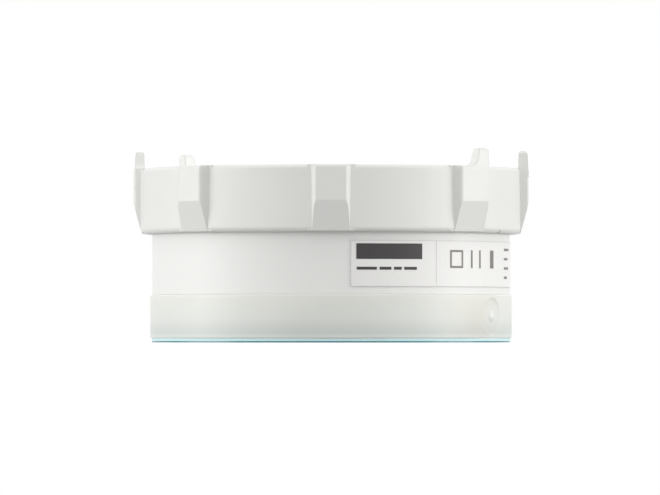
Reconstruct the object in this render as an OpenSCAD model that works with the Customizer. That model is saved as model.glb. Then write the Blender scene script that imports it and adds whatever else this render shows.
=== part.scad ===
// Radar level transmitter for plastic tanks: a round, battery-powered sensor that twists into a
// mounting ring stuck to the tank's top, under a ribbed cap whose four lugs guide a tie-down strap.
// Millimetres, +Z up, origin at the centre of the face that rests on the tank.
// The strap runs along X. Ribs, lugs and bayonets are placed from that axis.

/* [Adhesive base] */
// Thickness of the blue release liner
liner_t = 0.35; // [0.1:0.05:0.6]
// Thickness of the adhesive foam
pad_t = 0.75; // [0.4:0.05:2]
// How far the mounting ring's edge stands past the adhesive
pad_inset = 0.4; // [0.3:0.05:3]
// Width of the slit that lets a finger lift the liner
slit_w = 0.8; // [0.4:0.1:3]
// Direction of that slit, in degrees from +X
slit_angle = -87; // [-180:1:180]

/* [Mounting ring] */
// How far the mounting ring stands out past the housing wall
ring_step = 0.5; // [0.2:0.05:2]
// Height of the mounting ring
ring_h = 10.7; // [9.6:0.1:14]
// Wall thickness of the mounting ring
ring_wall = 1.5; // [1.2:0.1:1.8]
// Thickness of the mounting ring's floor
ring_floor_t = 1.8; // [1.2:0.1:2.4]
// Diameter of the opening in the mounting ring's floor
ring_opening_d = 62; // [50:1:72]
// Diameter of the round flat around the ring's moulding gate
gate_d = 9.4; // [6:0.1:9.4]
// Depth of that flat below the ring's surface
gate_depth = 0.3; // [0.3:0.05:0.6]
// Direction of the gate and of the cap's index notch, in degrees from +X
index_angle = -5.8; // [-20:0.1:20]

/* [Housing] */
// Outer diameter of the housing wall
housing_d = 89.3; // [88:0.1:110]
// Height of the wall that shows between the mounting ring and the cap
show_h = 15.2; // [14.4:0.1:24]
// Thickness of the housing walls
wall_t = 2.2; // [1.8:0.1:2.6]
// Thickness of the housing floor
floor_t = 2.2; // [2:0.1:2.8]
// Diameter of the bosses that take the long screws
boss_d = 6.4; // [5.4:0.1:7]

/* [Bayonets] */
// Number of lugs that hold the housing in the mounting ring
base_lugs = 6; // [4, 5, 6]
// Angle that each of those lugs spans, in degrees
base_lug_span = 24; // [16:1:26]
// Number of lugs that hold the cap on the housing
cap_lugs = 4; // [3, 4]
// Angle that each of those lugs spans, in degrees
cap_lug_span = 36; // [24:1:40]
// Height of a bayonet lug
lug_h = 2.2; // [1.8:0.1:2.4]

/* [Cap] */
// How far the cap's lower edge stands out past the housing wall
cap_overhang = 2.85; // [2:0.05:4]
// How much narrower the cap's radius is at its top than at its lower edge
cap_draft = 0.2; // [0:0.05:0.6]
// Height of the cap, without its lugs
cap_h = 16.3; // [15.4:0.1:24]
// Thickness of the cap's top
cap_top_t = 2.2; // [1.8:0.1:2.8]
// Radius of the cap's upper outer edge
cap_edge_r = 0.9; // [0.4:0.1:1.2]
// Radius of the cap's lower outer edge
cap_skirt_r = 1.2; // [0.4:0.1:1.4]
// Depth of the round recess in the cap's top
recess_depth = 0.5; // [0.3:0.1:0.8]
// Diameter of that recess
recess_d = 70; // [50:1:76]

/* [Ribs and strap lugs] */
// Number of grip ribs round the cap
rib_count = 8; // [6, 8, 10]
// How far a rib stands out past the cap's lower edge
rib_depth = 1.75; // [1.5:0.05:4]
// Width of a rib's outer face
rib_face_w = 8.1; // [5:0.1:9]
// Width of a rib where it meets the cap
rib_base_w = 9.2; // [8.6:0.1:12]
// Height of a rib's sloping foot above the cap's lower edge
rib_foot_h = 7.6; // [4:0.1:12]
// Distance from a lug rib's centre line to its strap-side wall
strap_wall = 5.7; // [4.9:0.1:6]
// Height of the strap lugs above the cap
strap_lug_h = 4.4; // [2.5:0.1:8]
// Width of a strap lug at its top
strap_lug_w = 2.9; // [2.4:0.1:4]
// Thickness of a strap lug at its top
strap_lug_t = 2.1; // [1.6:0.1:2.4]

/* [Radar front end] */
// Diameter of the antenna lens where it passes through the housing floor
lens_d = 28.6; // [22:0.1:32]
// How far the lens bulges below the housing floor
lens_bulge = 1.2; // [0.4:0.1:1.6]
// Height of the lens's inner dome
lens_dome = 3.2; // [2:0.1:3.6]
// Thickness of the lens flange
lens_flange_t = 1.6; // [1.2:0.1:2]

/* [Electronics] */
// Thickness of the circuit board
board_t = 1.6; // [1:0.1:2]
// Free height between the board and the battery carrier
parts_h = 3.6; // [3.6:0.1:4]
// Diameter of a battery cell
cell_d = 17.1; // [14:0.1:17.5]
// Length of a battery cell
cell_len = 50.5; // [40:0.5:51]
// Thickness of the battery carrier's plate
carrier_t = 1.4; // [1.2:0.1:1.8]
// Thickness of the plate that holds the cells down
retainer_t = 1.4; // [1.2:0.1:1.8]

/* [Label and vent] */
// Height of the rating label
label_h = 11.3; // [6:0.1:12]
// Angle at which the label starts, in degrees from +X
label_from = -61.4; // [-90:0.1:-40]
// Angle that the label spans, in degrees
label_span = 112; // [60:1:140]
// Diameter of the pressure vent's hole in the housing
vent_d = 6; // [4:0.5:7]

/* [Hidden] */
$fn = 96;

// Clearances
run_gap = 0.3;    // between pieces that turn past each other
seat_gap = 0.2;   // under the housing floor and the mounting ring's lips
shoulder_gap = 0.02; // between the housing's shoulder and the mounting ring's top
turn_gap = 0.5;   // between a bayonet lug and its stop, in degrees
fit_gap = 0.1;    // round seals, sleeves and what is glued or clipped in
bond = 0.5;       // how deep the parts of one solid run into each other
past = 1;         // how far a cut runs past a face

// Levels, from the tank up
z_ring = liner_t + pad_t;
z_housing = z_ring + ring_floor_t + seat_gap;
z_floor = z_housing + floor_t;
z_ring_top = z_ring + ring_h;
z_shoulder = z_ring_top + shoulder_gap;
z_cap = z_ring_top + show_h;
z_cap_top = z_cap + cap_h;
z_ceiling = z_cap_top - cap_top_t;
z_rim = z_ceiling - 0.5;
neck_rise = 1;
z_neck = z_cap + neck_rise;

// Radii, from the housing wall in and out
housing_r = housing_d / 2;
ring_r = housing_r + ring_step;
ring_bore_r = ring_r - ring_wall;
base_lip_w = 1.35;
gate_nub_r = 1.45;
gate_nub_h = 0.55;
notch_r = 0.35;
ring_lip_r = ring_bore_r - base_lip_w;
foot_r = ring_lip_r - run_gap;
foot_lug_r = ring_bore_r - run_gap;
cap_lug_w = 1.05;
neck_r = housing_r - cap_lug_w;
lower_bore_r = foot_r - wall_t;
upper_bore_r = neck_r - wall_t;
cap_r = housing_r + cap_overhang;
cap_top_r = cap_r - cap_draft;
cap_bore_r = housing_r + run_gap;
rib_r = cap_r + rib_depth;
rib_inner_r = cap_bore_r + 0.4;
rib_foot_r = cap_r - 0.3;
rib_edge_r = 0.9;
rib_root_r = 0.6;
rib_top_edge_r = 0.7;
rib_root_spread = 1.2;

// Bayonet levels
z_cap_lip = z_neck + 0.4;
z_cap_lug = z_cap_lip + lug_h + run_gap;
z_base_lip = z_ring_top - lug_h;
z_base_lug = z_base_lip - seat_gap - lug_h;

// Cap seal: a cord of this diameter in a groove near the rim
cap_cord = 1.8;
cap_groove_r = neck_r - 0.9;
z_cap_seal = z_rim - 2.8;
cap_land_r = cap_groove_r + cap_cord + 0.08;
z_land = z_cap_seal - cap_cord / 2 - 1.2;

// Stack inside the housing, from the cap down to the ledge that carries the board
coil_t = 0.2;
coil_in_r = 14;
coil_out_r = 20;
ceiling_gap = 0.9;
cell_gap = 0.1;
stack_h = board_t + parts_h + carrier_t + cell_d + cell_gap + retainer_t + coil_t + ceiling_gap;
z_board = z_ceiling - stack_h;
z_board_top = z_board + board_t;
z_carrier = z_board_top + parts_h;
z_carrier_top = z_carrier + carrier_t;
z_cell = z_carrier_top + cell_d / 2;
z_retainer = z_carrier_top + cell_d + cell_gap;
z_retainer_top = z_retainer + retainer_t;
board_r = upper_bore_r - 0.4;
carrier_r = upper_bore_r - 0.8;

// Long screws through carrier and board into the housing's bosses
screw_r = 1.2;
screw_hole_r = screw_r + 0.3;
pilot_r = screw_r + 0.05;
screw_head_r = 2.3;
screw_head_h = 1.6;
thread_len = 7;
pilot_spare = 0.5;
boss_r = boss_d / 2;
stack_circle_r = lower_bore_r - boss_r;
stack_angle = 35;

// Battery
cell_pitch = cell_d + 0.4;
cells_half_w = cell_pitch + cell_d / 2;
tab_t = 0.25;
cell_end_gap = tab_t + 0.1;
end_wall_t = 1.4;
post_r = 2.6;
post_x = cells_half_w + post_r + 2.8;
post_y = 12.5;
post_edge = 3.4;
head_seat_t = 0.5;
z_head_seat = z_retainer + head_seat_t;
lead_r = 0.7;
lead_x = 14;
lead_bend_r = 2;
lead_y = cell_len / 2 + cell_end_gap + end_wall_t + lead_bend_r + 1.2;
terminal_w = 4.5;
terminal_h = 3.2;
lead_hole_w = terminal_w + 0.5;
cradle_y = 0.3 * cell_len;
cradle_h = 0.28 * cell_d;
cradle_side = 1;
end_wall_h = 0.72 * cell_d;
spacer_r = 3;

// Lens
lens_r = lens_d / 2;
lens_seal_cord = 1.2;
lens_groove_r = lens_r + run_gap + 1.5;
lens_flange_r = lens_groove_r + 2;
z_lens_flange = z_floor + 0.05;
z_lens_top = z_lens_flange + lens_flange_t;
horn_lip_t = 0.8;
collar_w = 1.4;
z_collar = z_lens_top + horn_lip_t;

// Vent and label
vent_angle = 112.5;
vent_stem_r = vent_d / 2 - 0.05;
vent_wall = 0.8;
vent_flange_r = vent_d / 2 + 1.2;
vent_flange_t = 0.8;
vent_spot = 0.5;
vent_pore_r = 0.4;
z_vent = (z_shoulder + z_cap) / 2;
label_t = 0.15;
z_label = z_ring_top + (show_h - label_h) / 2 - 0.1;

// Unit vector along v
function unit(v) = v / norm(v);

// Points that round corner b, given as [x, y, radius], between its neighbours a and c
function corner(a, b, c, steps) =
    b[2] == 0 ? [[b.x, b.y]] :
    let (
        p = [b.x, b.y],
        u = unit([a.x, a.y] - p),
        v = unit([c.x, c.y] - p),
        half = acos(u * v) / 2,
        centre = p + unit(u + v) * b[2] / sin(half),
        from = p + u * b[2] / tan(half) - centre,
        start = atan2(from.y, from.x),
        step = (180 - 2 * half) * sign(v.x * u.y - v.y * u.x) / steps
    )
    [for (k = [0 : steps]) centre + b[2] * [cos(start + k * step), sin(start + k * step)]];

// Outline through corners given as [x, y, radius]
function rounded(corners, steps = 6) = [
    for (i = [0 : len(corners) - 1])
        each corner(corners[(i + len(corners) - 1) % len(corners)], corners[i],
                    corners[(i + 1) % len(corners)], steps)
];

// Ring segment of rectangular section between two angles
module arc_block(r_in, r_out, z0, z1, from, to)
    rotate([0, 0, from])
        rotate_extrude(angle = to - from)
            translate([r_in, z0]) square([r_out - r_in, z1 - z0]);

// Flat ring
module washer(r_in, r_out, h)
    rotate_extrude() translate([r_in, 0]) square([r_out - r_in, h]);

// Seal ring of round cord
module cord_ring(centre_r, cord)
    rotate_extrude() translate([centre_r, 0]) circle(d = cord, $fn = 48);

// Puts its children at each of the four long screws
module at_stack_screws()
    for (a = [stack_angle, 180 - stack_angle, 180 + stack_angle, -stack_angle])
        rotate([0, 0, a]) translate([stack_circle_r, 0, 0]) children();

// Puts its children at each of the four posts that carry the cell retainer
module at_retainer_posts()
    for (x = [-post_x, post_x], y = [-post_y, post_y])
        translate([x, y, 0]) children();

// Pan-head screw, its head's seat at the origin and its shank pointing down
module screw(length, head_h) {
    translate([0, 0, -length]) cylinder(r = screw_r, h = length);
    difference() {
        cylinder(r = screw_head_r, h = head_h);
        translate([0, 0, head_h / 2]) cylinder(r = 1.1, h = head_h, $fn = 6);
    }
}

// ---- Base: liner, adhesive, mounting ring ----

module release_liner() {
    color("deepskyblue")
        difference() {
            washer(ring_opening_d / 2 + 1, ring_r - pad_inset, liner_t);
            rotate([0, 0, slit_angle]) translate([0, -slit_w / 2, -past])
                cube([ring_r, slit_w, liner_t + 2 * past]);
        }
}

module adhesive_pad() {
    color("lightcyan")
        translate([0, 0, liner_t])
            washer(ring_opening_d / 2 + 1, ring_r - pad_inset, pad_t);
}

// Lip of the mounting ring's bayonet, with the stop that hangs from its clockwise end
module base_lip() {
    half = base_lug_span / 2;
    stop_from = half + turn_gap - 180 / base_lugs;
    embed_r = ring_bore_r + ring_wall / 2;
    arc_block(ring_lip_r, embed_r, z_base_lip, z_ring_top - 0.1, stop_from, half);
    arc_block(ring_lip_r, embed_r, z_base_lug, z_base_lip + bond, stop_from, -half - turn_gap);
}

module mounting_ring() {
    color("whitesmoke") {
        difference() {
            union() {
                rotate_extrude()
                    polygon(rounded([
                        [ring_opening_d / 2, z_ring, 0.2],
                        [ring_r, z_ring, 0.15],
                        [ring_r, z_ring_top, 0.2],
                        [ring_bore_r, z_ring_top, 0],
                        [ring_bore_r, z_ring + ring_floor_t, 0.4],
                        [ring_opening_d / 2, z_ring + ring_floor_t, 0.3]
                    ], 4));
                for (i = [0 : base_lugs - 1])
                    rotate([0, 0, i * 360 / base_lugs]) base_lip();
            }
            gate_flat();
        }
        gate_nub();
    }
}

// Puts its children at the middle of the gate's flat, with Z pointing out of the ring
module at_gate()
    rotate([0, 0, index_angle])
        translate([ring_r - gate_depth, 0, z_ring + ring_h / 2])
            rotate([0, 90, 0]) children();

// Round flat in the ring's outside, with a gently sloping edge
module gate_flat() {
    slope = 2;
    depth = 2;
    floor_r = gate_d / 2 - slope * gate_depth;
    at_gate() cylinder(r1 = floor_r, r2 = floor_r + slope * depth, h = depth);
}

// Low nub left where the gate was cut off
module gate_nub()
    at_gate() dome(gate_nub_r, gate_nub_h);

// ---- Housing and what closes it ----

module housing_section()
    polygon(rounded([
        [lens_r + run_gap, z_housing, 0.3],
        [foot_r, z_housing, 0.8],
        [foot_r, z_shoulder, 0],
        [housing_r, z_shoulder, 0.05],
        [housing_r, z_neck, 0.3],
        [neck_r, z_neck, 0],
        [neck_r, z_cap_seal - cap_cord / 2 - fit_gap, 0],
        [cap_groove_r, z_cap_seal - cap_cord / 2 - fit_gap, 0],
        [cap_groove_r, z_cap_seal + cap_cord / 2 + fit_gap, 0],
        [neck_r, z_cap_seal + cap_cord / 2 + fit_gap, 0],
        [neck_r, z_rim, 0.5],
        [upper_bore_r, z_rim, 0.3],
        [upper_bore_r, z_board, 0],
        [lower_bore_r, z_board, 0],
        [lower_bore_r, z_floor, 0.8],
        [lens_flange_r + run_gap + collar_w, z_floor, 0],
        [lens_flange_r + run_gap + collar_w, z_collar, 0.3],
        [lens_flange_r + run_gap, z_collar, 0.3],
        [lens_flange_r + run_gap, z_floor, 0],
        [lens_groove_r + lens_seal_cord / 2 + fit_gap, z_floor, 0],
        [lens_groove_r + lens_seal_cord / 2 + fit_gap, z_lens_flange - lens_seal_cord, 0],
        [lens_groove_r - lens_seal_cord / 2 - fit_gap, z_lens_flange - lens_seal_cord, 0],
        [lens_groove_r - lens_seal_cord / 2 - fit_gap, z_floor, 0],
        [lens_r + run_gap, z_floor, 0]
    ], 4));

// Lug that the cap's lip slides under, with the stop that stands below its clockwise end
module neck_lug() {
    half = cap_lug_span / 2;
    stop_from = half + turn_gap - 180 / cap_lugs;
    arc_block(neck_r - bond, housing_r, z_cap_lug, z_cap_lug + lug_h, stop_from, half);
    arc_block(neck_r - bond, housing_r, z_neck - bond, z_cap_lug + bond, stop_from, -half - turn_gap);
}

module housing() {
    color("white")
        difference() {
            union() {
                rotate_extrude() housing_section();
                for (i = [0 : base_lugs - 1])
                    rotate([0, 0, i * 360 / base_lugs])
                        arc_block(foot_r - bond, foot_lug_r, z_base_lug, z_base_lug + lug_h,
                                  -base_lug_span / 2, base_lug_span / 2);
                for (i = [0 : cap_lugs - 1])
                    rotate([0, 0, i * 360 / cap_lugs]) neck_lug();
                at_stack_screws() translate([0, 0, z_floor - bond])
                    cylinder(r = boss_r, h = z_board - z_floor + bond);
            }
            at_stack_screws() translate([0, 0, z_board - thread_len - pilot_spare])
                cylinder(r = pilot_r, h = thread_len + pilot_spare + past);
            vent_seat();
        }
}

// Hole for the vent and the spot face that its flange sits on
module vent_seat()
    rotate([0, 0, vent_angle]) translate([0, 0, z_vent]) rotate([0, 90, 0]) {
        translate([0, 0, upper_bore_r - 1]) cylinder(d = vent_d, h = wall_t + 4);
        translate([0, 0, housing_r - vent_spot]) cylinder(r = vent_flange_r + 0.2, h = 2);
    }

// Vent plug: a flange on the spot face and a hollow stem through the wall
module vent_plug() {
    seat = housing_r - vent_spot;
    stem_len = seat - upper_bore_r;
    color("dimgray")
        rotate([0, 0, vent_angle]) translate([0, 0, z_vent]) rotate([0, 90, 0])
            difference() {
                union() {
                    translate([0, 0, upper_bore_r]) cylinder(r = vent_stem_r, h = stem_len + bond);
                    translate([0, 0, seat]) cylinder(r = vent_flange_r, h = vent_flange_t);
                }
                translate([0, 0, upper_bore_r - past]) cylinder(r = vent_stem_r - vent_wall, h = stem_len);
                for (a = [0 : 60 : 300])
                    rotate([0, 0, a]) translate([0.45 * vent_stem_r, 0, seat - 1.5])
                        cylinder(r = vent_pore_r, h = 3, $fn = 24);
            }
}

module vent_membrane() {
    color("snow")
        rotate([0, 0, vent_angle]) translate([upper_bore_r + 0.4, 0, z_vent]) rotate([0, 90, 0])
            cylinder(r = vent_stem_r - vent_wall - 0.05, h = 0.3);
}

module rating_label() {
    color("ghostwhite")
        arc_block(housing_r, housing_r + label_t, z_label, z_label + label_h,
                  label_from, label_from + label_span);
}

module cap_seal() {
    color("dimgray")
        translate([0, 0, z_cap_seal]) cord_ring(cap_groove_r + cap_cord / 2 + 0.03, cap_cord);
}

// ---- Radar front end ----

// Dome of radius r that rises by rise, on a short stub below
module dome(r, rise) {
    ball_r = (r * r + rise * rise) / (2 * rise);
    rotate_extrude()
        intersection() {
            translate([0, rise - ball_r]) circle(r = ball_r, $fn = 360);
            translate([0, -bond]) square([r, rise + 2 * bond]);
        }
}

module antenna_lens() {
    color("floralwhite") {
        translate([0, 0, z_housing]) cylinder(r = lens_r, h = z_lens_flange - z_housing + bond);
        translate([0, 0, z_lens_flange]) cylinder(r = lens_flange_r, h = lens_flange_t);
        translate([0, 0, z_lens_top]) dome(lens_r - 1.3, lens_dome);
        translate([0, 0, z_housing]) mirror([0, 0, 1]) dome(lens_r, lens_bulge);
    }
}

module lens_seal() {
    color("black")
        translate([0, 0, z_lens_flange - lens_seal_cord / 2]) cord_ring(lens_groove_r, lens_seal_cord);
}

// Horn that funnels the beam from the chip to the lens, clamped between lens and board
module feed_horn() {
    mouth_r = lens_flange_r - 2.6;
    rim_r = lens_flange_r - 0.8;
    throat_r = 4.2;
    horn_wall = 1.3;
    color("silver")
        rotate_extrude()
            polygon([
                [mouth_r, z_lens_top], [rim_r, z_lens_top], [rim_r, z_lens_top + horn_lip_t],
                [throat_r + 2 * horn_wall, z_board - 1.5], [11, z_board - 1.5], [11, z_board],
                [throat_r, z_board], [throat_r, z_board - 2]
            ]);
}

module radar_chip() {
    chip_w = 5;
    chip_t = 0.9;
    color("darkslategray")
        translate([-chip_w / 2, -chip_w / 2, z_board - chip_t]) cube([chip_w, chip_w, chip_t]);
}

// ---- Circuit board ----

module main_board() {
    color("seagreen")
        difference() {
            translate([0, 0, z_board]) cylinder(r = board_r, h = board_t);
            at_stack_screws() translate([0, 0, z_board - past])
                cylinder(r = screw_hole_r, h = board_t + 2 * past);
        }
}

// Block on the board, given by its middle and size
module on_board(x, y, w, d, h)
    translate([x - w / 2, y - d / 2, z_board_top]) cube([w, d, h]);

// Radio on its own small board, under a shielding can
module radio_module() {
    radio_w = 26;
    radio_d = 20;
    radio_board_t = 0.8;
    can_inset = 0.8;
    can_h = 1.8;
    color("silver") {
        on_board(-radio_w / 2, radio_d / 2, radio_w, radio_d, radio_board_t);
        translate([0, 0, radio_board_t])
            on_board(-radio_w / 2, radio_d / 2, radio_w - 2 * can_inset, radio_d - 2 * can_inset, can_h);
    }
}

module processor() {
    processor_w = 10;
    processor_h = 1.2;
    color("darkslategray")
        on_board(1.2 * processor_w, processor_w, processor_w, processor_w, processor_h);
}

module board_parts() {
    // Middle, footprint and height of each small part
    small = [
        [14, -6, 6, 6, 1.2], [4, -8, 4, 4, 1], [-8, -10, 7, 5, 1.8], [-20, -10, 5, 3.2, 1.5],
        [23, -8, 3.2, 2.5, 1.6], [23, 2, 3.2, 2.5, 1.6], [-4, -19, 8, 4, 2.2], [24, 12, 4, 4, 1.2]
    ];
    color("dimgray")
        for (p = small) on_board(p[0], p[1], p[2], p[3], p[4]);
}

// Magnet switch that wakes the sensor: a glass tube on two bent legs
module reed_switch() {
    tube_r = 1.1;
    half_len = 6;
    leg = 0.5;
    reed_y = -24;
    color("lightgreen") {
        translate([-half_len, reed_y, z_board_top + tube_r + 0.3])
            rotate([0, 90, 0]) cylinder(r = tube_r, h = 2 * half_len, $fn = 48);
        for (s = [-1, 1])
            translate([s * half_len - leg / 2, reed_y - leg / 2, z_board_top])
                cube([leg, leg, tube_r + 0.6]);
    }
}

module battery_terminals() {
    color("white")
        for (s = [-1, 1]) on_board(lead_x, s * lead_y, terminal_w, terminal_w, terminal_h);
}

// ---- Battery ----

// Cradle across the cells: a plate with a trough for each cell
module cradle(y) {
    cradle_t = 3;
    difference() {
        translate([-cells_half_w - cradle_side, y - cradle_t / 2, z_carrier_top - bond])
            cube([2 * (cells_half_w + cradle_side), cradle_t, cradle_h]);
        for (i = [-1 : 1])
            translate([i * cell_pitch, y - cradle_t, z_cell])
                rotate([-90, 0, 0]) cylinder(r = cell_d / 2 + 0.03, h = 2 * cradle_t);
    }
}

module end_wall(s) {
    inner_y = cell_len / 2 + cell_end_gap;
    difference() {
        translate([-cells_half_w, s > 0 ? inner_y : -inner_y - end_wall_t, z_carrier_top - bond])
            cube([2 * cells_half_w, end_wall_t, end_wall_h]);
        translate([lead_x, s * (inner_y + end_wall_t / 2), z_cell])
            rotate([90, 0, 0]) cylinder(r = lead_r + 0.2, h = end_wall_t + 2 * past, center = true);
    }
}

module battery_carrier() {
    color("gainsboro")
        difference() {
            union() {
                translate([0, 0, z_carrier]) cylinder(r = carrier_r, h = carrier_t);
                at_stack_screws() translate([0, 0, z_board_top])
                    cylinder(r = spacer_r, h = parts_h + bond);
                at_retainer_posts() translate([0, 0, z_carrier_top - bond])
                    cylinder(r = post_r, h = z_retainer - z_carrier_top + bond);
                intersection() {
                    union() {
                        for (s = [-1, 1]) cradle(s * cradle_y);
                        for (s = [-1, 1]) end_wall(s);
                    }
                    translate([0, 0, z_carrier]) cylinder(r = carrier_r, h = cell_d);
                }
            }
            at_stack_screws() translate([0, 0, z_board_top - past])
                cylinder(r = screw_hole_r, h = parts_h + carrier_t + 2 * past);
            at_retainer_posts() translate([0, 0, z_retainer - thread_len - pilot_spare])
                cylinder(r = pilot_r, h = thread_len + pilot_spare + past);
            for (s = [-1, 1])
                translate([lead_x - lead_hole_w / 2, s * lead_y - lead_hole_w / 2, z_carrier - past])
                    cube([lead_hole_w, lead_hole_w, carrier_t + 2 * past]);
        }
}

module stack_screws() {
    color("silver")
        at_stack_screws() translate([0, 0, z_carrier_top])
            screw(carrier_t + parts_h + board_t + thread_len, screw_head_h);
}

// Battery cell along Y with its terminal nub; side is -1, 0 or 1 across the row
module battery_cell(side) {
    nub_h = 1.2;
    nub_r = 3.2;
    color("mediumseagreen")
        translate([side * cell_pitch, cell_len / 2, z_cell]) rotate([90, 0, 0])
            rotate_extrude()
                polygon(rounded([
                    [0, 0, 0], [cell_d / 2, 0, 0.6], [cell_d / 2, cell_len - nub_h, 0.8],
                    [nub_r, cell_len - nub_h, 0], [nub_r, cell_len, 0.3], [0, cell_len, 0]
                ], 4));
}

module cell_tabs() {
    tab_h = 4.5;
    tab_half = cell_pitch + 3;
    tab_y = cell_len / 2 + cell_end_gap / 2;
    color("silver")
        for (s = [-1, 1])
            translate([-tab_half, s * tab_y - tab_t / 2, z_cell - tab_h / 2])
                cube([2 * tab_half, tab_t, tab_h]);
}

// Insulated wire from a board terminal up and over to the cell tab on side s
module battery_lead(s) {
    tab_y = cell_len / 2 + cell_end_gap / 2 + tab_t / 2;
    z_bend = z_cell - lead_bend_r;
    translate([lead_x, s * lead_y, z_board_top + terminal_h])
        cylinder(r = lead_r, h = z_bend - z_board_top - terminal_h, $fn = 32);
    translate([lead_x, s * (lead_y - lead_bend_r), z_bend])
        rotate([90, 0, s > 0 ? 90 : -90]) rotate_extrude(angle = 90)
            translate([lead_bend_r, 0]) circle(r = lead_r, $fn = 32);
    translate([lead_x, s * (lead_y - lead_bend_r), z_cell])
        rotate([s > 0 ? 90 : -90, 0, 0])
            cylinder(r = lead_r, h = lead_y - lead_bend_r - tab_y, $fn = 32);
}

module battery_lead_plus() {
    color("red") battery_lead(-1);
}

module battery_lead_minus() {
    color("black") battery_lead(1);
}

// Buffer capacitor lying on the carrier beside the cells
module layer_capacitor() {
    cap_body_r = 4.4;
    half_len = 8.5;
    color("steelblue")
        translate([-post_x, -half_len, z_carrier_top + cap_body_r]) rotate([-90, 0, 0])
            rotate_extrude()
                polygon(rounded([
                    [0, 0, 0], [cap_body_r, 0, 0.6], [cap_body_r, 2 * half_len, 0.6], [0, 2 * half_len, 0]
                ], 4));
}

// Plate with round corners, given by its half sizes
module round_plate(half_x, half_y, corner_r, h)
    linear_extrude(h)
        polygon(rounded([
            [half_x, half_y, corner_r], [-half_x, half_y, corner_r],
            [-half_x, -half_y, corner_r], [half_x, -half_y, corner_r]
        ]));

module cell_retainer() {
    color("gainsboro")
        difference() {
            translate([0, 0, z_retainer])
                round_plate(post_x + post_edge, post_y + 2.5 * post_edge, 2.35 * post_edge, retainer_t);
            at_retainer_posts() {
                translate([0, 0, z_retainer - past])
                    cylinder(r = screw_hole_r, h = retainer_t + 2 * past);
                translate([0, 0, z_head_seat]) cylinder(r = screw_head_r + 0.2, h = retainer_t);
            }
        }
}

module retainer_screws() {
    color("silver")
        at_retainer_posts() translate([0, 0, z_head_seat])
            screw(thread_len + head_seat_t, retainer_t + 0.1);
}

module nfc_coil() {
    color("peru")
        translate([0, 0, z_retainer_top]) washer(coil_in_r, coil_out_r, coil_t);
}

// Film antenna on the housing's inside, with a tail down to the board
module radio_antenna() {
    film_t = 0.3;
    film_r = upper_bore_r - 0.05;
    z_wide = z_cell - 0.3 * cell_d;
    z_film_top = z_cell + 0.35 * cell_d;
    film_half = 55;
    tail_half = 4;
    color("orange")
        rotate([0, 0, -90])
            difference() {
                arc_block(film_r - film_t, film_r, z_board_top + 0.05, z_film_top, -film_half, film_half);
                for (s = [-1, 1])
                    rotate([0, 0, s * (film_half + tail_half + 1) / 2])
                        arc_block(film_r - film_t - past, film_r + past, z_board_top - past, z_wide,
                                  -(film_half + 1 - tail_half) / 2, (film_half + 1 - tail_half) / 2);
            }
}

// ---- Cap ----

module cap_section()
    polygon(rounded([
        [0, z_ceiling, 0],
        [cap_land_r, z_ceiling, 0.5],
        [cap_land_r, z_land, 0],
        [cap_bore_r, z_land - 0.6, 0],
        [cap_bore_r, z_cap, 0.3],
        [cap_r, z_cap, cap_skirt_r],
        [cap_top_r, z_cap_top, cap_edge_r],
        [0, z_cap_top, 0]
    ]));

// Which side of the rib at angle a faces the strap: 1, -1, or 0 for a rib with no lug
function strap_side(a) =
    abs(abs(cos(a)) - cos(180 / rib_count)) > 0.001 ? 0 : sign(cos(a)) * -sign(sin(a));

// Rib's plan on +X. A lug rib's strap side is a straight wall
module rib_plan(side) {
    face = rib_face_w / 2;
    base = rib_base_w / 2;
    spread = base + rib_root_spread;
    root_r = sqrt(cap_top_r * cap_top_r - base * base);
    spread_r = sqrt(cap_top_r * cap_top_r - spread * spread);
    strap_half = [[rib_r, strap_wall, 0.5], [rib_inner_r, strap_wall, 0]];
    plain_half = [
        [rib_r, face, rib_edge_r], [root_r, base, rib_root_r], [spread_r, spread, 0],
        [rib_inner_r, spread, 0]
    ];
    mirror([0, side < 0 ? 1 : 0, 0])
        polygon(rounded(concat(
            [for (i = [3 : -1 : 0]) [plain_half[i][0], -plain_half[i][1], plain_half[i][2]]],
            side == 0 ? plain_half : strap_half
        )));
}

// Rib with its sloping foot and rounded top edge
module rib(side) {
    intersection() {
        translate([0, 0, z_cap]) linear_extrude(cap_h) rib_plan(side);
        rotate([90, 0, 0])
            linear_extrude(2 * rib_base_w, center = true)
                polygon(rounded([
                    [cap_bore_r, z_cap + 0.2, 0],
                    [rib_foot_r, z_cap + 0.2, 0],
                    [rib_r, z_cap + rib_foot_h, 0],
                    [rib_r, z_cap_top, rib_top_edge_r],
                    [cap_bore_r, z_cap_top, 0]
                ], 4));
    }
}

// Lug on top of a rib: a plate, thinner upwards, whose foot flares away from the strap
module strap_lug(side) {
    sink = 2;
    taper = 0.35;
    flare = 1.5;
    foot_y = -3.4;
    top_edge_r = 0.9;
    z_foot = z_cap_top - sink;
    z_top = z_cap_top + strap_lug_h;
    inner_x = rib_r - strap_lug_t - taper;
    mirror([0, side < 0 ? 1 : 0, 0])
        intersection() {
            rotate([90, 0, 0])
                linear_extrude(4 * rib_base_w, center = true)
                    polygon(rounded([
                        [inner_x - 0.2, z_foot, 0],
                        [rib_r, z_foot, 0],
                        [rib_r - taper, z_top, 0.8],
                        [inner_x, z_top, 0.7]
                    ]));
            rotate([90, 0, 90])
                linear_extrude(rib_r + past)
                    polygon(rounded([
                        [foot_y, z_foot, 0],
                        [strap_wall, z_foot, 0],
                        [strap_wall, z_top, top_edge_r],
                        [strap_wall - strap_lug_w, z_top, top_edge_r],
                        [strap_wall - strap_lug_w - flare, z_cap_top, 2.4],
                        [foot_y, z_cap_top - 0.2, 0]
                    ]));
        }
}

module cap_lip() {
    half = cap_lug_span / 2;
    arc_block(neck_r + run_gap, cap_bore_r + 0.5, z_cap_lip, z_cap_lip + lug_h, -half, half);
}

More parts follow.
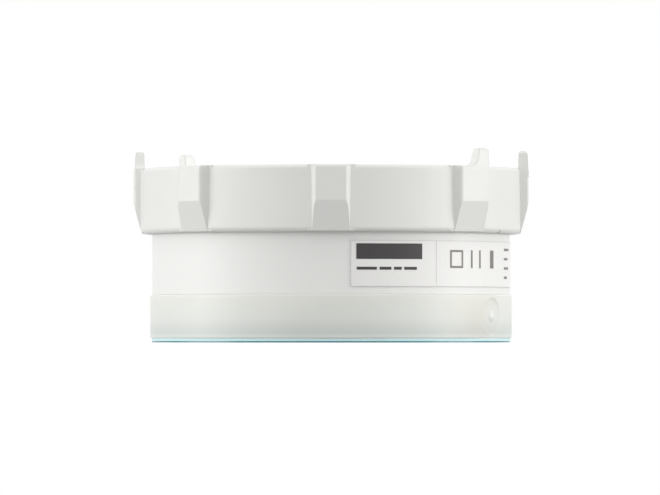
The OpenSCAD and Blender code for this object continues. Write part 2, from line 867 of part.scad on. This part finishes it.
module cap() {
    color("gainsboro")
        difference() {
            union() {
                rotate_extrude() cap_section();
                for (i = [0 : rib_count - 1]) {
                    a = (i + 0.5) * 360 / rib_count;
                    rotate([0, 0, a]) {
                        rib(strap_side(a));
                        if (strap_side(a) != 0) strap_lug(strap_side(a));
                    }
                }
                for (i = [0 : cap_lugs - 1]) rotate([0, 0, i * 360 / cap_lugs]) cap_lip();
            }
            translate([0, 0, z_cap_top - recess_depth]) cylinder(d = recess_d, h = 2 * recess_depth);
            rotate([0, 0, index_angle]) translate([cap_bore_r - past, 0, z_cap + notch_r])
                rotate([0, 90, 0]) cylinder(r = notch_r, h = cap_overhang + 2 * past, $fn = 24);
        }
}

// Bare disc that shows where a phone is held to read the sensor
module contact_mark() {
    color("lightgray")
        translate([0, 0, z_cap_top - recess_depth]) cylinder(r = 0.75 * coil_out_r, h = label_t);
}

release_liner();
adhesive_pad();
mounting_ring();
housing();
antenna_lens();
lens_seal();
feed_horn();
radar_chip();
main_board();
radio_module();
processor();
board_parts();
reed_switch();
battery_terminals();
battery_carrier();
stack_screws();
layer_capacitor();
battery_cell(-1);  // battery_cell_left
battery_cell(0);  // battery_cell_middle
battery_cell(1);  // battery_cell_right
cell_tabs();
battery_lead_plus();
battery_lead_minus();
cell_retainer();
retainer_screws();
nfc_coil();
radio_antenna();
cap_seal();
vent_plug();
vent_membrane();
rating_label();
cap();
contact_mark();
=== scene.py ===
"""Radar level transmitter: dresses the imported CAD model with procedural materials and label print.

Metres, +Z up, same frame as the CAD. The camera stands on azimuth CAMERA_AZIMUTH.
"""
import math

import bmesh
import bpy
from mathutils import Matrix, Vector


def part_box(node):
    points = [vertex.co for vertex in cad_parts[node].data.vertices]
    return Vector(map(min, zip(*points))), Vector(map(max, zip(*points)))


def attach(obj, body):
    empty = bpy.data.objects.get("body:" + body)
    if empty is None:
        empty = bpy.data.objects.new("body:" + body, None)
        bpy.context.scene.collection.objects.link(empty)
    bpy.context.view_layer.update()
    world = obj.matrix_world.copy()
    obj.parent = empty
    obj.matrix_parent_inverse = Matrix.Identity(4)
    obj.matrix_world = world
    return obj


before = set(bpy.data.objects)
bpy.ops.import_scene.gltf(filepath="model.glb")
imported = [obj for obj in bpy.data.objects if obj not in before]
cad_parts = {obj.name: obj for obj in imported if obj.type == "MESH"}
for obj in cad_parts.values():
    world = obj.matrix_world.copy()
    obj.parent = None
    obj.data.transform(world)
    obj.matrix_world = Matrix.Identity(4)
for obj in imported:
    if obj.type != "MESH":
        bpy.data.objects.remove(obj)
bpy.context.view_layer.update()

MM = 0.001

# Camera
CAMERA_AZIMUTH = math.radians(22.5)
CAMERA_DISTANCE = 1640 * MM
CAMERA_HEIGHT = 2 * MM
AIM_HEIGHT = 23.7 * MM
AIM_LEFT = 0.25 * MM
LENS = 358.0
CLIP_START = 0.1

# Strength of the world's light from the camera's side and from the far side
WORLD_FRONT = 1.125
WORLD_BACK = 0.67

# Floor: its reach, the share of light it throws back, and the glow that lifts it to white.
# From FADE_START to FADE_END it turns plain white.
FLOOR_RADIUS = 6.0
FLOOR_DROP = 0.01 * MM
FLOOR_SEGMENTS = 96
FLOOR_BOUNCE = 0.42
FLOOR_GLOW = 0.66
FADE_START = 60 * MM
FADE_END = 100 * MM
# How far the floor's opening lies inside the liner's edge
FLOOR_UNDER_LINER = 0.2 * MM

# Softboxes: name, azimuth from the camera's and elevation in degrees, distance, size, power
SOFTBOXES = (
    ("softbox_left", -85, 7.5, 1.3, (0.8, 0.34), 6.7),
    ("softbox_right", 85, 7.5, 1.3, (0.8, 0.34), 7.1),
    ("softbox_top", 0, 85, 1.4, (1.0, 1.0), 2),
)

# The ring's moulding gate, kept free of the painted shade at its middle so that its nub stays
# lighter as a painted highlight, and the painted shade beside it
GATE_ANGLE = math.radians(-5.8)
GATE_CORE = 1.5 * MM
GATE_REACH = 3.5 * MM
PAINTED_SHADE_ANGLE = math.radians(-15.0)
PAINTED_SHADE_HEIGHT = 4 * MM
PAINTED_SHADE_CORE = 1 * MM
PAINTED_SHADE_REACH = 14 * MM

# Label print: its gap to the label, its thickness, and the longest flat length on the curve
PRINT_GAP = 0.03 * MM
PRINT_THICKNESS = 0.03 * MM
PRINT_STEP = 0.8

# Places on the label, in millimetres along it from its start and up from its lower edge
BORDER_INSET = 0.02
BORDER_LINE = 0.12
DIVIDER_X = 22.6
DIVIDER_LINE = 0.07
DIVIDER_INSET = 0.2
BLOCK = (1.4, 6.7, 17.1, 3.8)  # x, y, width, height
DASHES = ((1.5, 5.0), (7.2, 3.0), (10.9, 2.0), (13.6, 3.4))  # x, width
DASH_Y = 4.1
DASH_HEIGHT = 0.7
MARK_Y = 4.6
MARK_HEIGHT = 4.4
SQUARE_X = 27.0
SQUARE_LINE = 0.5
UPRIGHTS = ((34.4, 0.6), (37.8, 0.6), (43.0, 1.8))  # x, width
ROW_LENGTHS = (5.2, 3.8, 4.6, 3.0)
ROW_COLUMNS = ((52.3, 1.0), (72.0, 1.6))  # x, stretch
ROW_TOP = 9.0
ROW_PITCH = 2.3
ROW_HEIGHT = 0.6

# Materials: noise scales per metre, the middle part of a noise's range, and bevel samples
FLOW_SCALE = 45
SHEEN_SCALE = 700
GRAIN_SCALE = 2600
BRUSH_SCALE = 900
CLOUD_SCALE = 70
CELL_SCALE = 1800
INK_SCALE = 2500
NOISE_LOW = 0.3
NOISE_HIGH = 0.7
BEVEL_SAMPLES = 6

WHITE = (1.0, 1.0, 1.0)


# ---------------------------------------------------------------- helpers


def polar(radius, angle, height):
    return radius * math.cos(angle), radius * math.sin(angle), height


def around(azimuth, distance, height):
    """Point at an azimuth from the camera's, seen from above, positive to the camera's right."""
    angle = CAMERA_AZIMUTH + azimuth
    return Vector((math.sin(angle) * distance, -math.cos(angle) * distance, height))


def shade(colour, factor):
    return tuple(channel * factor for channel in colour)


def add_object(name, data):
    item = bpy.data.objects.new(name, data)
    bpy.context.scene.collection.objects.link(item)
    return item


class Nodes:
    """The nodes of a material or world, and short ways to add to them."""

    def __init__(self, tree):
        self.nodes = tree.nodes
        self.links = tree.links

    def vector(self, operation, first, second=None):
        """Vector maths on an output and, where the operation takes one, a fixed vector."""
        maths = self.nodes.new("ShaderNodeVectorMath")
        maths.operation = operation
        self.links.new(first, maths.inputs[0])
        if second is not None:
            maths.inputs[1].default_value = second
        return maths.outputs["Value"]

    def spread(self, value, low, high, to_low, to_high):
        """Maps value from low..high to to_low..to_high."""
        spread = self.nodes.new("ShaderNodeMapRange")
        numbers = (low, high, to_low, to_high)
        for name, number in zip(("From Min", "From Max", "To Min", "To Max"), numbers):
            spread.inputs[name].default_value = number
        self.links.new(value, spread.inputs["Value"])
        return spread.outputs["Result"]

    def mix_shader(self, factor, first, second):
        mix = self.nodes.new("ShaderNodeMixShader")
        self.links.new(factor, mix.inputs["Fac"])
        self.links.new(first, mix.inputs[1])
        self.links.new(second, mix.inputs[2])
        return mix.outputs[0]

    def seen_directly(self):
        """1 for camera, glossy and transmission rays, 0 for the light that reaches the object."""
        path = self.nodes.new("ShaderNodeLightPath")
        total = path.outputs["Is Camera Ray"]
        for name in ("Is Glossy Ray", "Is Transmission Ray"):
            larger = self.nodes.new("ShaderNodeMath")
            larger.operation = "MAXIMUM"
            self.links.new(total, larger.inputs[0])
            self.links.new(path.outputs[name], larger.inputs[1])
            total = larger.outputs[0]
        return total


class Material(Nodes):
    """A node material with one Principled shader."""

    def __init__(self, name):
        self.data = bpy.data.materials.new(name)
        self.data.use_nodes = True
        super().__init__(self.data.node_tree)
        self.shader = self.nodes["Principled BSDF"]
        self.place = self.nodes.new("ShaderNodeTexCoord").outputs["Object"]

    def set(self, **values):
        for name, value in values.items():
            self.shader.inputs[name.replace("_", " ")].default_value = value
        return self

    def noise(self, scale, detail=3.0, stretch=(1, 1, 1)):
        mapping = self.nodes.new("ShaderNodeMapping")
        mapping.inputs["Scale"].default_value = stretch
        self.links.new(self.place, mapping.inputs["Vector"])
        noise = self.nodes.new("ShaderNodeTexNoise")
        noise.inputs["Scale"].default_value = scale
        noise.inputs["Detail"].default_value = detail
        self.links.new(mapping.outputs["Vector"], noise.inputs["Vector"])
        return noise.outputs["Fac"]

    def ramp(self, value, stops):
        """Colour ramp over value; stops are (position, colour)."""
        ramp = self.nodes.new("ShaderNodeValToRGB")
        elements = ramp.color_ramp.elements
        while len(elements) < len(stops):
            elements.new(0.5)
        for element, (position, colour) in zip(elements, stops):
            element.position = position
            element.color = (*colour, 1)
        self.links.new(value, ramp.inputs["Fac"])
        return ramp.outputs["Color"]

    def blend(self, value, low, high):
        """Colour that goes from low to high over the middle of a noise."""
        return self.ramp(value, [(NOISE_LOW, low), (NOISE_HIGH, high)])

    def height(self):
        split = self.nodes.new("ShaderNodeSeparateXYZ")
        self.links.new(self.place, split.inputs["Vector"])
        return split.outputs["Z"]

    def near(self, point, core, reach):
        """0 within core of a point, rising to 1 at reach."""
        return self.spread(self.vector("DISTANCE", self.place, point), core, reach, 0, 1)

    def multiply(self, a, b, amount=None):
        """Colour a times colour b, in full or by the given amount."""
        mix = self.nodes.new("ShaderNodeMix")
        mix.data_type = "RGBA"
        mix.blend_type = "MULTIPLY"
        mix.inputs["Factor"].default_value = 1.0
        if amount:
            self.links.new(amount, mix.inputs["Factor"])
        self.links.new(a, mix.inputs["A"])
        self.links.new(b, mix.inputs["B"])
        return mix.outputs["Result"]

    def colour(self, output):
        self.links.new(output, self.shader.inputs["Base Color"])
        return self

    def roughness(self, value, middle, swing):
        """Roughness that goes swing below and above middle over the middle of a noise."""
        rough = self.spread(value, NOISE_LOW, NOISE_HIGH, middle - swing, middle + swing)
        self.links.new(rough, self.shader.inputs["Roughness"])
        return self

    def bump(self, height, distance, edge_radius=0.0):
        """Bump from height, over edges rounded by edge_radius."""
        bump = self.nodes.new("ShaderNodeBump")
        bump.inputs["Distance"].default_value = distance
        self.links.new(height, bump.inputs["Height"])
        if edge_radius:
            bevel = self.nodes.new("ShaderNodeBevel")
            bevel.samples = BEVEL_SAMPLES
            bevel.inputs["Radius"].default_value = edge_radius
            self.links.new(bevel.outputs["Normal"], bump.inputs["Normal"])
        self.links.new(bump.outputs["Normal"], self.shader.inputs["Normal"])
        return self


# ---------------------------------------------------------------- materials


def plastic(name, colour, rough=0.5, grain=0.02 * MM, mottle=0.02, edge=0.25 * MM):
    """Moulded plastic: spark-eroded grain, faint flow mottling, softened edges."""
    material = Material(name)
    flow = material.noise(FLOW_SCALE, detail=2.0)
    material.colour(material.blend(flow, shade(colour, 1 - mottle), shade(colour, 1 + mottle)))
    material.roughness(material.noise(SHEEN_SCALE), rough, 0.04)
    return material.bump(material.noise(GRAIN_SCALE, detail=4.0), grain, edge)


def metal(name, colour, rough):
    """Metal brushed round the object's axis."""
    material = Material(name).set(Metallic=1.0)
    brushed = material.noise(BRUSH_SCALE, detail=5.0, stretch=(1, 1, 8))
    material.colour(material.blend(brushed, shade(colour, 0.92), colour))
    material.roughness(brushed, rough, 0.06)
    return material.bump(brushed, 0.01 * MM, 0.1 * MM)


def cap_material():
    colour = (0.722, 0.722, 0.700)
    return plastic("cap_plastic", colour, 0.46, grain=0.03 * MM, mottle=0.012, edge=0.3 * MM)


def housing_material():
    colour = (0.795, 0.794, 0.775)
    material = plastic(
        "housing_plastic", colour, 0.48, grain=0.01 * MM, mottle=0.008, edge=0.08 * MM)
    return material.set(
        Subsurface_Weight=0.35, Subsurface_Scale=1.2 * MM, Subsurface_Radius=(1.0, 1.0, 1.0))


def ring_material():
    """Natural translucent plastic, faintly cloudy; painted shade and a painted reflection of the
    liner make it darker and greener low down, painted light makes its lower edge pale, and a painted
    shade lies beside the gate but off its nub.
    """
    low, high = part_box("mounting_ring")
    material = plastic(
        "natural_plastic", (0.70, 0.72, 0.68), 0.46, grain=0.008 * MM, edge=0.12 * MM)
    # Painted shade and light by height: darker and greener low down as painted shade and painted
    # reflection of the liner, pale at the lowest edge as painted light
    painted_height_shading = material.ramp(material.spread(material.height(), low.z, high.z, 0, 1), [
        (0.0, (0.79, 0.785, 0.745)),
        (0.12, (0.615, 0.65, 0.622)),
        (0.45, (0.735, 0.75, 0.715)),
        (1.0, (0.775, 0.78, 0.73)),
    ])
    cloud = material.blend(material.noise(CLOUD_SCALE, detail=4.0), (0.965, 0.97, 0.965), WHITE)
    gate = polar(high.x, GATE_ANGLE, (low.z + high.z) / 2)
    # Painted shade: a darker patch beside the gate
    painted_shade_centre = polar(high.x, PAINTED_SHADE_ANGLE, PAINTED_SHADE_HEIGHT)
    painted_shade = material.ramp(
        material.near(painted_shade_centre, PAINTED_SHADE_CORE, PAINTED_SHADE_REACH),
        [(0.0, (0.925, 0.895, 0.86)), (1.0, WHITE)])
    # The painted shade is left off the gate, so its nub stays lighter: a painted highlight
    clear = material.near(gate, GATE_CORE, GATE_REACH)
    material.colour(material.multiply(material.multiply(painted_height_shading, cloud), painted_shade, clear))
    return material.set(
        Subsurface_Weight=0.8, Subsurface_Scale=2.0 * MM, Subsurface_Radius=(1.0, 1.0, 0.9))


def liner_material():
    material = Material("liner_film").set(Roughness=0.25)
    material.colour(material.blend(material.noise(60), (0.010, 0.19, 0.215), (0.012, 0.175, 0.26)))
    return material.bump(material.noise(300), 0.01 * MM)


def pad_material():
    material = Material("foam_tape").set(
        Roughness=0.7,
        Subsurface_Weight=0.15, Subsurface_Scale=0.8 * MM, Subsurface_Radius=(1.0, 1.3, 1.3))
    cells = material.noise(CELL_SCALE, detail=5.0)
    material.colour(material.blend(cells, (0.66, 0.90, 0.91), (0.70, 0.93, 0.94)))
    return material.bump(cells, 0.05 * MM)


def label_material():
    colour = (0.80, 0.795, 0.775)
    return plastic("label_film", colour, grain=0.004 * MM, mottle=0.004, edge=0.05 * MM)


def ink_material(name, colour):
    material = Material(name).set(Roughness=0.5)
    return material.colour(material.blend(material.noise(INK_SCALE), colour, shade(colour, 1.25)))


def board_material():
    material = Material("board_green").set(Roughness=0.35)
    tracks = material.noise(500, detail=1.0, stretch=(1, 6, 1))
    material.colour(material.ramp(tracks, [
        (0.45, (0.015, 0.12, 0.045)),
        (0.55, (0.02, 0.18, 0.07)),
    ]))
    return material.bump(tracks, 0.02 * MM)


def glass_material():
    material = Material("reed_glass").set(Roughness=0.05, Transmission_Weight=0.8, IOR=1.5)
    cloud = material.noise(200)
    return material.colour(material.blend(cloud, (0.40, 0.62, 0.48), (0.50, 0.70, 0.56)))


def rubber_material():
    material = Material("seal_rubber").set(Roughness=0.6)
    dust = material.noise(900, detail=5.0)
    material.colour(material.blend(dust, (0.02, 0.02, 0.02), (0.035, 0.035, 0.036)))
    return material.bump(dust, 0.02 * MM)


def dress(material, *names):
    """Gives CAD nodes a material."""
    for name in names:
        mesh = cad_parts[name].data
        mesh.materials.clear()
        mesh.materials.append(material.data)


def dress_nodes():
    dress(cap_material(), "cap")
    dress(housing_material(), "housing")
    dress(ring_material(), "mounting_ring")
    dress(liner_material(), "release_liner")
    dress(pad_material(), "adhesive_pad")
    dress(label_material(), "rating_label")
    dress(plastic("mark_grey", (0.60, 0.60, 0.59), 0.4), "contact_mark")
    dress(plastic("lens_plastic", (0.78, 0.76, 0.70), 0.3), "antenna_lens")
    dress(rubber_material(), "lens_seal", "cap_seal")
    tin = metal("tin_plating", (0.75, 0.75, 0.76), 0.3)
    dress(tin, "feed_horn", "radio_module", "cell_tabs")
    dress(metal("screw_steel", (0.62, 0.62, 0.63), 0.35), "stack_screws", "retainer_screws")
    chip = plastic("chip_black", (0.02, 0.02, 0.022))
    dress(chip, "radar_chip", "processor", "board_parts")
    dress(board_material(), "main_board")
    dress(glass_material(), "reed_switch")
    dress(plastic("connector_white", (0.75, 0.73, 0.68)), "battery_terminals")
    dress(plastic("carrier_grey", (0.34, 0.35, 0.36)), "battery_carrier", "cell_retainer")
    dress(plastic("capacitor_blue", (0.02, 0.06, 0.22), 0.3), "layer_capacitor")
    sleeve = plastic("cell_sleeve", (0.02, 0.16, 0.08), 0.3)
    dress(sleeve, "battery_cell_left", "battery_cell_middle", "battery_cell_right")
    dress(plastic("lead_red", (0.45, 0.01, 0.01), 0.35), "battery_lead_plus")
    dress(plastic("lead_black", (0.015, 0.015, 0.015), 0.35), "battery_lead_minus")
    dress(plastic("coil_film", (0.50, 0.22, 0.06), 0.3), "nfc_coil", "radio_antenna")
    dress(plastic("vent_grey", (0.09, 0.09, 0.10), 0.45), "vent_plug")
    dress(plastic("membrane_white", (0.8, 0.8, 0.8), 0.8), "vent_membrane")


# ---------------------------------------------------------------- label print


def label_frame():
    """Radius of the label's face, its start and end angle, and its lowest and highest level."""
    points = [v.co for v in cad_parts["rating_label"].data.vertices]
    radius = max(math.hypot(p.x, p.y) for p in points)
    angles = [math.atan2(p.y, p.x) for p in points]
    levels = [p.z for p in points]
    return radius, min(angles), max(angles), min(levels), max(levels)


LABEL_R, LABEL_START, LABEL_END, LABEL_LOW, LABEL_HIGH = label_frame()


def on_label(along, up, lift):
    """Point over the label's face: millimetres along it and up it, and metres above it."""
    angle = LABEL_START + along * MM / LABEL_R
    return polar(LABEL_R + PRINT_GAP + lift, angle, LABEL_LOW + up * MM)


def add_print(mesh, outline):
    """Raises a flat outline, given as (along, up) points in order, off the label's face."""
    base = [mesh.verts.new(on_label(x, y, 0)) for x, y in outline]
    top = [mesh.verts.new(on_label(x, y, PRINT_THICKNESS)) for x, y in outline]
    mesh.faces.new(top)
    for i in range(len(base)):
        j = (i + 1) % len(base)
        mesh.faces.new((base[i], base[j], top[j], top[i]))


def add_bar(mesh, x, y, width, height):
    """A bar from (x, y), cut into short lengths so that it follows the label's curve."""
    count = max(1, round(width / PRINT_STEP))
    step = width / count
    for i in range(count):
        left = x + i * step
        right = left + step
        add_print(mesh, [(left, y), (right, y), (right, y + height), (left, y + height)])


def add_frame(mesh, x, y, width, height, line):
    """A rectangular outline of the given line width."""
    add_bar(mesh, x, y, width, line)
    add_bar(mesh, x, y + height - line, width, line)
    add_bar(mesh, x, y + line, line, height - 2 * line)
    add_bar(mesh, x + width - line, y + line, line, height - 2 * line)


def print_piece(name, material, draw):
    mesh = bmesh.new()
    draw(mesh)
    bmesh.ops.recalc_face_normals(mesh, faces=mesh.faces)
    data = bpy.data.meshes.new(name)
    mesh.to_mesh(data)
    mesh.free()
    data.materials.append(material.data)
    piece = add_object(name, data)
    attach(piece, "sensor")


def draw_hairlines(mesh):
    """Border round the label, with the divider between its two fields."""
    length = (LABEL_END - LABEL_START) * LABEL_R / MM
    height = (LABEL_HIGH - LABEL_LOW) / MM
    add_frame(
        mesh, BORDER_INSET, BORDER_INSET,
        length - 2 * BORDER_INSET, height - 2 * BORDER_INSET, BORDER_LINE)
    add_bar(mesh, DIVIDER_X, DIVIDER_INSET, DIVIDER_LINE, height - 2 * DIVIDER_INSET)


def draw_dark_print(mesh):
    """Stand-ins for name and type: a plain block and a broken line below it."""
    add_bar(mesh, *BLOCK)
    for x, width in DASHES:
        add_bar(mesh, x, DASH_Y, width, DASH_HEIGHT)


def draw_grey_print(mesh):
    """Stand-ins for marks and text: square, three uprights, and two columns of short rows."""
    add_frame(mesh, SQUARE_X, MARK_Y, MARK_HEIGHT, MARK_HEIGHT, SQUARE_LINE)
    for x, width in UPRIGHTS:
        add_bar(mesh, x, MARK_Y, width, MARK_HEIGHT)
    for row, length in enumerate(ROW_LENGTHS):
        for x, stretch in ROW_COLUMNS:
            add_bar(mesh, x, ROW_TOP - ROW_PITCH * row, stretch * length, ROW_HEIGHT)


def print_label():
    pale = ink_material("ink_pale", (0.56, 0.56, 0.55))
    dark = ink_material("ink_dark", (0.035, 0.03, 0.032))
    grey = ink_material("ink_grey", (0.16, 0.15, 0.14))
    print_piece("label_hairlines", pale, draw_hairlines)
    print_piece("label_dark_print", dark, draw_dark_print)
    print_piece("label_grey_print", grey, draw_grey_print)


# ---------------------------------------------------------------- stage


def make_world():
    """White to the camera and in reflections; its light on the object fades from front to back."""
    world = bpy.data.worlds.new("studio")
    bpy.context.scene.world = world
    world.use_nodes = True
    tree = Nodes(world.node_tree)
    direction = tree.nodes.new("ShaderNodeTexCoord").outputs["Generated"]
    frontness = tree.vector("DOT_PRODUCT", direction, around(0, 1, 0))
    light = tree.nodes["Background"]
    light.inputs["Color"].default_value = (*WHITE, 1)
    strength = tree.spread(frontness, -1, 1, WORLD_BACK, WORLD_FRONT)
    tree.links.new(strength, light.inputs["Strength"])
    white = tree.nodes.new("ShaderNodeBackground")
    white.inputs["Color"].default_value = (*WHITE, 1)
    look = tree.mix_shader(tree.seen_directly(), light.outputs[0], white.outputs[0])
    tree.links.new(look, tree.nodes["World Output"].inputs["Surface"])


def add_floor_disc():
    """Disc open just inside the footprint, so that a view from below sees the underside."""
    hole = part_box("release_liner")[1].x - FLOOR_UNDER_LINER
    mesh = bmesh.new()
    turns = [2 * math.pi * i / FLOOR_SEGMENTS for i in range(FLOOR_SEGMENTS)]
    inner = [mesh.verts.new(polar(hole, angle, -FLOOR_DROP)) for angle in turns]
    outer = [mesh.verts.new(polar(FLOOR_RADIUS, angle, -FLOOR_DROP)) for angle in turns]
    for i in range(FLOOR_SEGMENTS):
        j = (i + 1) % FLOOR_SEGMENTS
        mesh.faces.new((inner[i], outer[i], outer[j], inner[j]))
    data = bpy.data.meshes.new("floor")
    mesh.to_mesh(data)
    mesh.free()
    return add_object("floor", data)


def floor_material():
    """Reads as white with the object's shadow on it, and throws back only part of the light.

    It is clear from underneath.
    """
    material = Material("floor").set(Roughness=0.9, Specular_IOR_Level=0.0)
    grey = shade(WHITE, FLOOR_BOUNCE)
    material.colour(material.blend(material.noise(3), shade(grey, 0.98), shade(grey, 1.02)))
    nodes, links = material.nodes, material.links
    plain = material.shader.outputs[0]
    glow = nodes.new("ShaderNodeEmission")
    glow.inputs["Strength"].default_value = FLOOR_GLOW
    lifted = nodes.new("ShaderNodeAddShader")
    links.new(plain, lifted.inputs[0])
    links.new(glow.outputs[0], lifted.inputs[1])
    white = nodes.new("ShaderNodeEmission").outputs[0]
    clear = nodes.new("ShaderNodeBsdfTransparent").outputs[0]
    away = material.spread(material.vector("LENGTH", material.place), FADE_START, FADE_END, 0, 1)
    look = material.mix_shader(away, lifted.outputs[0], white)
    upper = material.mix_shader(material.seen_directly(), plain, look)
    underneath = nodes.new("ShaderNodeNewGeometry").outputs["Backfacing"]
    links.new(
        material.mix_shader(underneath, upper, clear), nodes["Material Output"].inputs["Surface"])
    return material


def make_floor():
    floor = add_floor_disc()
    floor.data.materials.append(floor_material().data)


def add_softbox(name, azimuth, elevation, distance, size, power):
    """Softbox aimed at the origin; azimuth and elevation in degrees."""
    light = bpy.data.lights.new(name, "AREA")
    light.shape = "RECTANGLE"
    light.size, light.size_y = size
    light.energy = power
    rise = math.radians(elevation)
    lamp = add_object(name, light)
    lamp.location = around(
        math.radians(azimuth), distance * math.cos(rise), distance * math.sin(rise))
    lamp.rotation_euler = (-lamp.location).to_track_quat("-Z", "Y").to_euler()


def add_camera():
    camera = add_object("camera", bpy.data.cameras.new("camera"))
    camera.data.lens = LENS
    camera.data.clip_start = CLIP_START
    camera.location = around(0, CAMERA_DISTANCE, CAMERA_HEIGHT)
    aim = around(math.radians(-90), AIM_LEFT, AIM_HEIGHT) - camera.location
    camera.rotation_euler = aim.to_track_quat("-Z", "Y").to_euler()
    bpy.context.scene.camera = camera


bpy.context.scene.view_settings.view_transform = "Standard"
dress_nodes()
print_label()
add_camera()
make_world()
make_floor()
for softbox in SOFTBOXES:
    add_softbox(*softbox)
